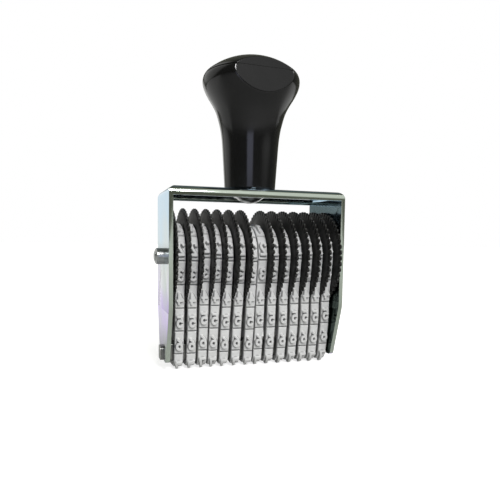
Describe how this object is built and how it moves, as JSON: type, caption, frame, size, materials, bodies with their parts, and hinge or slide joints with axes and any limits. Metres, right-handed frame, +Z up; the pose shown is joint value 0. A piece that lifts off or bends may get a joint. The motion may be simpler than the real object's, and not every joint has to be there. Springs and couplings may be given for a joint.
{
  "type": "numbering stamp",
  "caption": "Hand numbering stamp: a turned knob on a plated sheet frame, with toothed thumb wheels that turn rubber number bands over a bridge bar.",
  "frame": {"origin": "in the plane of the print face, below the middle of the frame", "axes": "+Z up from the print face to the knob, X across the bands, the front with the knob's flat towards -Y"},
  "size_m": [0.0632, 0.0311, 0.0995],
  "materials": {
    "plated_sheet": "bright zinc plating on drawn steel sheet",
    "bridge_metal": "satin drawn bar",
    "turned_steel": "turned and plated steel",
    "black_wheel": "moulded, semi-matt",
    "grey_rubber": "moulded rubber, matt",
    "black_handle": "moulded, glossy"
  },
  "bodies": {
    "stamp": {"frame_yoke": "plated_sheet", "bridge_bar": "bridge_metal", "axle": "turned_steel", "axle_nut_left": "turned_steel", "axle_nut_right": "turned_steel", "axle_spacer_left": "turned_steel", "axle_spacer_right": "turned_steel", "handle_body": "black_handle", "handle_cap": "black_handle", "handle_screw": "turned_steel", "handle_washer": "turned_steel", "number_band_01": "grey_rubber", "number_band_02": "grey_rubber", "number_band_03": "grey_rubber", "number_band_04": "grey_rubber", "number_band_05": "grey_rubber", "number_band_06": "grey_rubber", "number_band_07": "grey_rubber", "number_band_08": "grey_rubber", "number_band_09": "grey_rubber", "number_band_10": "grey_rubber", "number_band_11": "grey_rubber", "number_band_12": "grey_rubber", "number_band_13": "grey_rubber", "number_band_14": "grey_rubber"},
    "wheel_01": {"number_wheel_01": "black_wheel"},
    "wheel_02": {"number_wheel_02": "black_wheel"},
    "wheel_03": {"number_wheel_03": "black_wheel"},
    "wheel_04": {"number_wheel_04": "black_wheel"},
    "wheel_05": {"number_wheel_05": "black_wheel"},
    "wheel_06": {"number_wheel_06": "black_wheel"},
    "wheel_07": {"number_wheel_07": "black_wheel"},
    "wheel_08": {"number_wheel_08": "black_wheel"},
    "wheel_09": {"number_wheel_09": "black_wheel"},
    "wheel_10": {"number_wheel_10": "black_wheel"},
    "wheel_11": {"number_wheel_11": "black_wheel"},
    "wheel_12": {"number_wheel_12": "black_wheel"},
    "wheel_13": {"number_wheel_13": "black_wheel"},
    "wheel_14": {"number_wheel_14": "black_wheel"}
  },
  "joints": [
    {"name": "wheel_01_turn", "type": "hinge", "parent": "stamp", "child": "wheel_01", "pos_m": [0, 0, 0.0362], "axis": [1, 0, 0], "continuous": true},
    {"name": "wheel_02_turn", "type": "hinge", "parent": "stamp", "child": "wheel_02", "pos_m": [0, 0, 0.0362], "axis": [1, 0, 0], "continuous": true},
    {"name": "wheel_03_turn", "type": "hinge", "parent": "stamp", "child": "wheel_03", "pos_m": [0, 0, 0.0362], "axis": [1, 0, 0], "continuous": true},
    {"name": "wheel_04_turn", "type": "hinge", "parent": "stamp", "child": "wheel_04", "pos_m": [0, 0, 0.0362], "axis": [1, 0, 0], "continuous": true},
    {"name": "wheel_05_turn", "type": "hinge", "parent": "stamp", "child": "wheel_05", "pos_m": [0, 0, 0.0362], "axis": [1, 0, 0], "continuous": true},
    {"name": "wheel_06_turn", "type": "hinge", "parent": "stamp", "child": "wheel_06", "pos_m": [0, 0, 0.0362], "axis": [1, 0, 0], "continuous": true},
    {"name": "wheel_07_turn", "type": "hinge", "parent": "stamp", "child": "wheel_07", "pos_m": [0, 0, 0.0362], "axis": [1, 0, 0], "continuous": true},
    {"name": "wheel_08_turn", "type": "hinge", "parent": "stamp", "child": "wheel_08", "pos_m": [0, 0, 0.0362], "axis": [1, 0, 0], "continuous": true},
    {"name": "wheel_09_turn", "type": "hinge", "parent": "stamp", "child": "wheel_09", "pos_m": [0, 0, 0.0362], "axis": [1, 0, 0], "continuous": true},
    {"name": "wheel_10_turn", "type": "hinge", "parent": "stamp", "child": "wheel_10", "pos_m": [0, 0, 0.0362], "axis": [1, 0, 0], "continuous": true},
    {"name": "wheel_11_turn", "type": "hinge", "parent": "stamp", "child": "wheel_11", "pos_m": [0, 0, 0.0362], "axis": [1, 0, 0], "continuous": true},
    {"name": "wheel_12_turn", "type": "hinge", "parent": "stamp", "child": "wheel_12", "pos_m": [0, 0, 0.0362], "axis": [1, 0, 0], "continuous": true},
    {"name": "wheel_13_turn", "type": "hinge", "parent": "stamp", "child": "wheel_13", "pos_m": [0, 0, 0.0362], "axis": [1, 0, 0], "continuous": true},
    {"name": "wheel_14_turn", "type": "hinge", "parent": "stamp", "child": "wheel_14", "pos_m": [0, 0, 0.0362], "axis": [1, 0, 0], "continuous": true}
  ]
}
